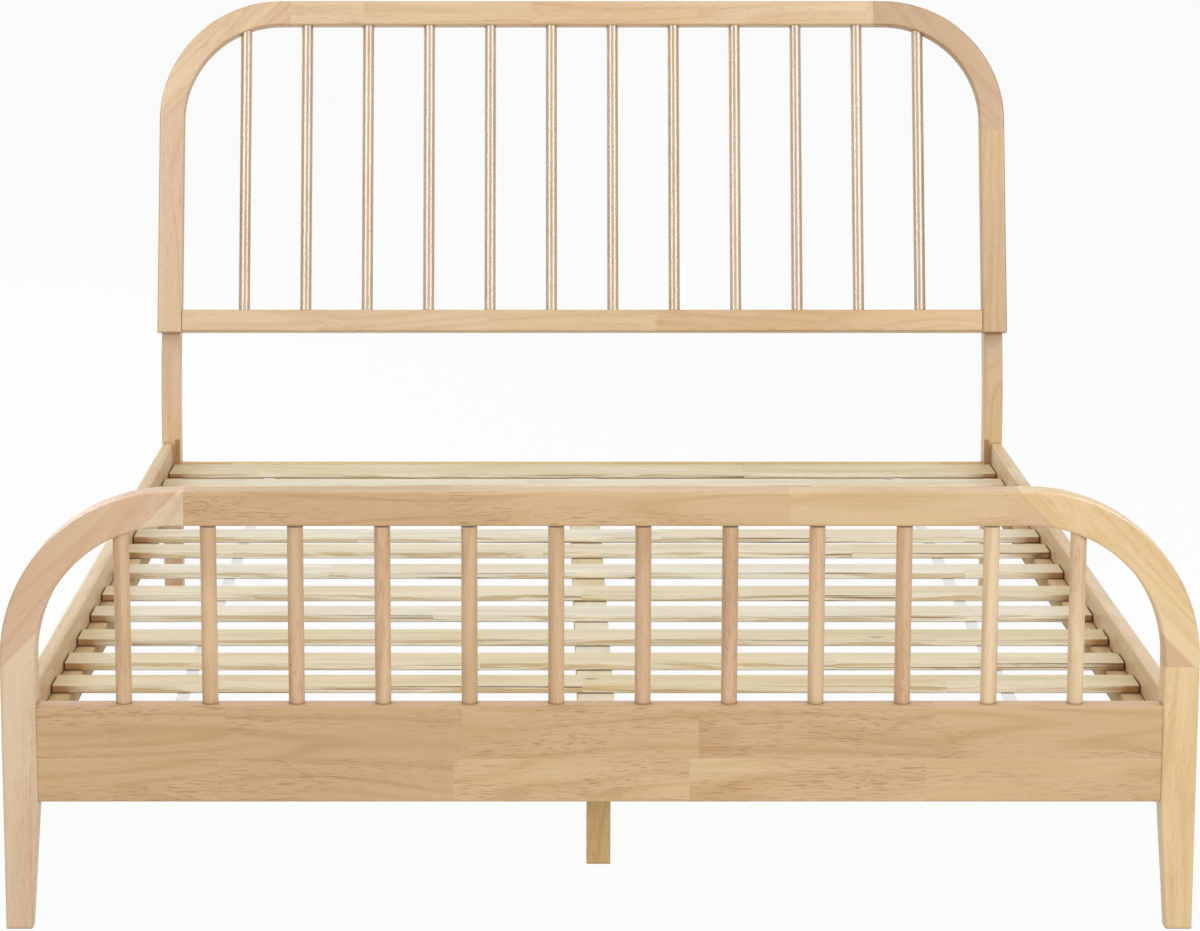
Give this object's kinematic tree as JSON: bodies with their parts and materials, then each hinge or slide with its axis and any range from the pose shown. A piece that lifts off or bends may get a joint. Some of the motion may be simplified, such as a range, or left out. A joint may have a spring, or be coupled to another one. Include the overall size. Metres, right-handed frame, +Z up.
{
  "type": "bed frame",
  "caption": "Wooden spindle bed frame with a raked, round-cornered headboard, an arched footboard, side rails, a centre rail on legs and a lift-out slat roll.",
  "frame": {"origin": "on the floor, under the middle of the whole bed's length and width", "axes": "+X across the bed to the right seen from the foot, +Y from footboard to headboard, +Z up"},
  "size_m": [1.61, 2.3028, 1.1174],
  "materials": {
    "frame_wood": "light tan hardwood under a clear satin lacquer, grain along each piece",
    "slat_wood": "pale planed softwood, nearly bare",
    "webbing": "white woven webbing",
    "brown_steel": "brown satin enamel",
    "zinc_steel": "bright zinc plate"
  },
  "bodies": {
    "frame": {"barrel_nuts": "zinc_steel", "bracket_screws": "zinc_steel", "centre_leg_1": "frame_wood", "centre_leg_2": "frame_wood", "centre_leg_3": "frame_wood", "centre_rail": "slat_wood", "centre_rail_seats": "zinc_steel", "foot_brackets": "zinc_steel", "footboard_corner_left": "frame_wood", "footboard_corner_right": "frame_wood", "footboard_leg_left": "frame_wood", "footboard_leg_right": "frame_wood", "footboard_lower_rail": "frame_wood", "footboard_spindles": "frame_wood", "footboard_top_rail": "frame_wood", "head_cross_rail": "frame_wood", "head_leg_left": "frame_wood", "head_leg_plates": "brown_steel", "head_leg_right": "frame_wood", "headboard_corner_left": "frame_wood", "headboard_corner_right": "frame_wood", "headboard_lower_rail": "frame_wood", "headboard_spindles": "frame_wood", "headboard_stile_left": "frame_wood", "headboard_stile_right": "frame_wood", "headboard_top_rail": "frame_wood", "ledger_left": "frame_wood", "ledger_right": "frame_wood", "panel_bolts": "zinc_steel", "rail_bolts": "zinc_steel", "seat_screws": "zinc_steel", "side_rail_left": "frame_wood", "side_rail_right": "frame_wood"},
    "slat_roll": {"slat_01": "slat_wood", "slat_02": "slat_wood", "slat_03": "slat_wood", "slat_04": "slat_wood", "slat_05": "slat_wood", "slat_06": "slat_wood", "slat_07": "slat_wood", "slat_08": "slat_wood", "slat_09": "slat_wood", "slat_10": "slat_wood", "slat_11": "slat_wood", "slat_12": "slat_wood", "slat_13": "slat_wood", "slat_14": "slat_wood", "slat_strap_left": "webbing", "slat_strap_right": "webbing"}
  },
  "joints": [
    {"name": "slat_roll_lift", "type": "slide", "parent": "frame", "child": "slat_roll", "axis": [0, 0, 1], "range_m": [0, 0.06]}
  ]
}
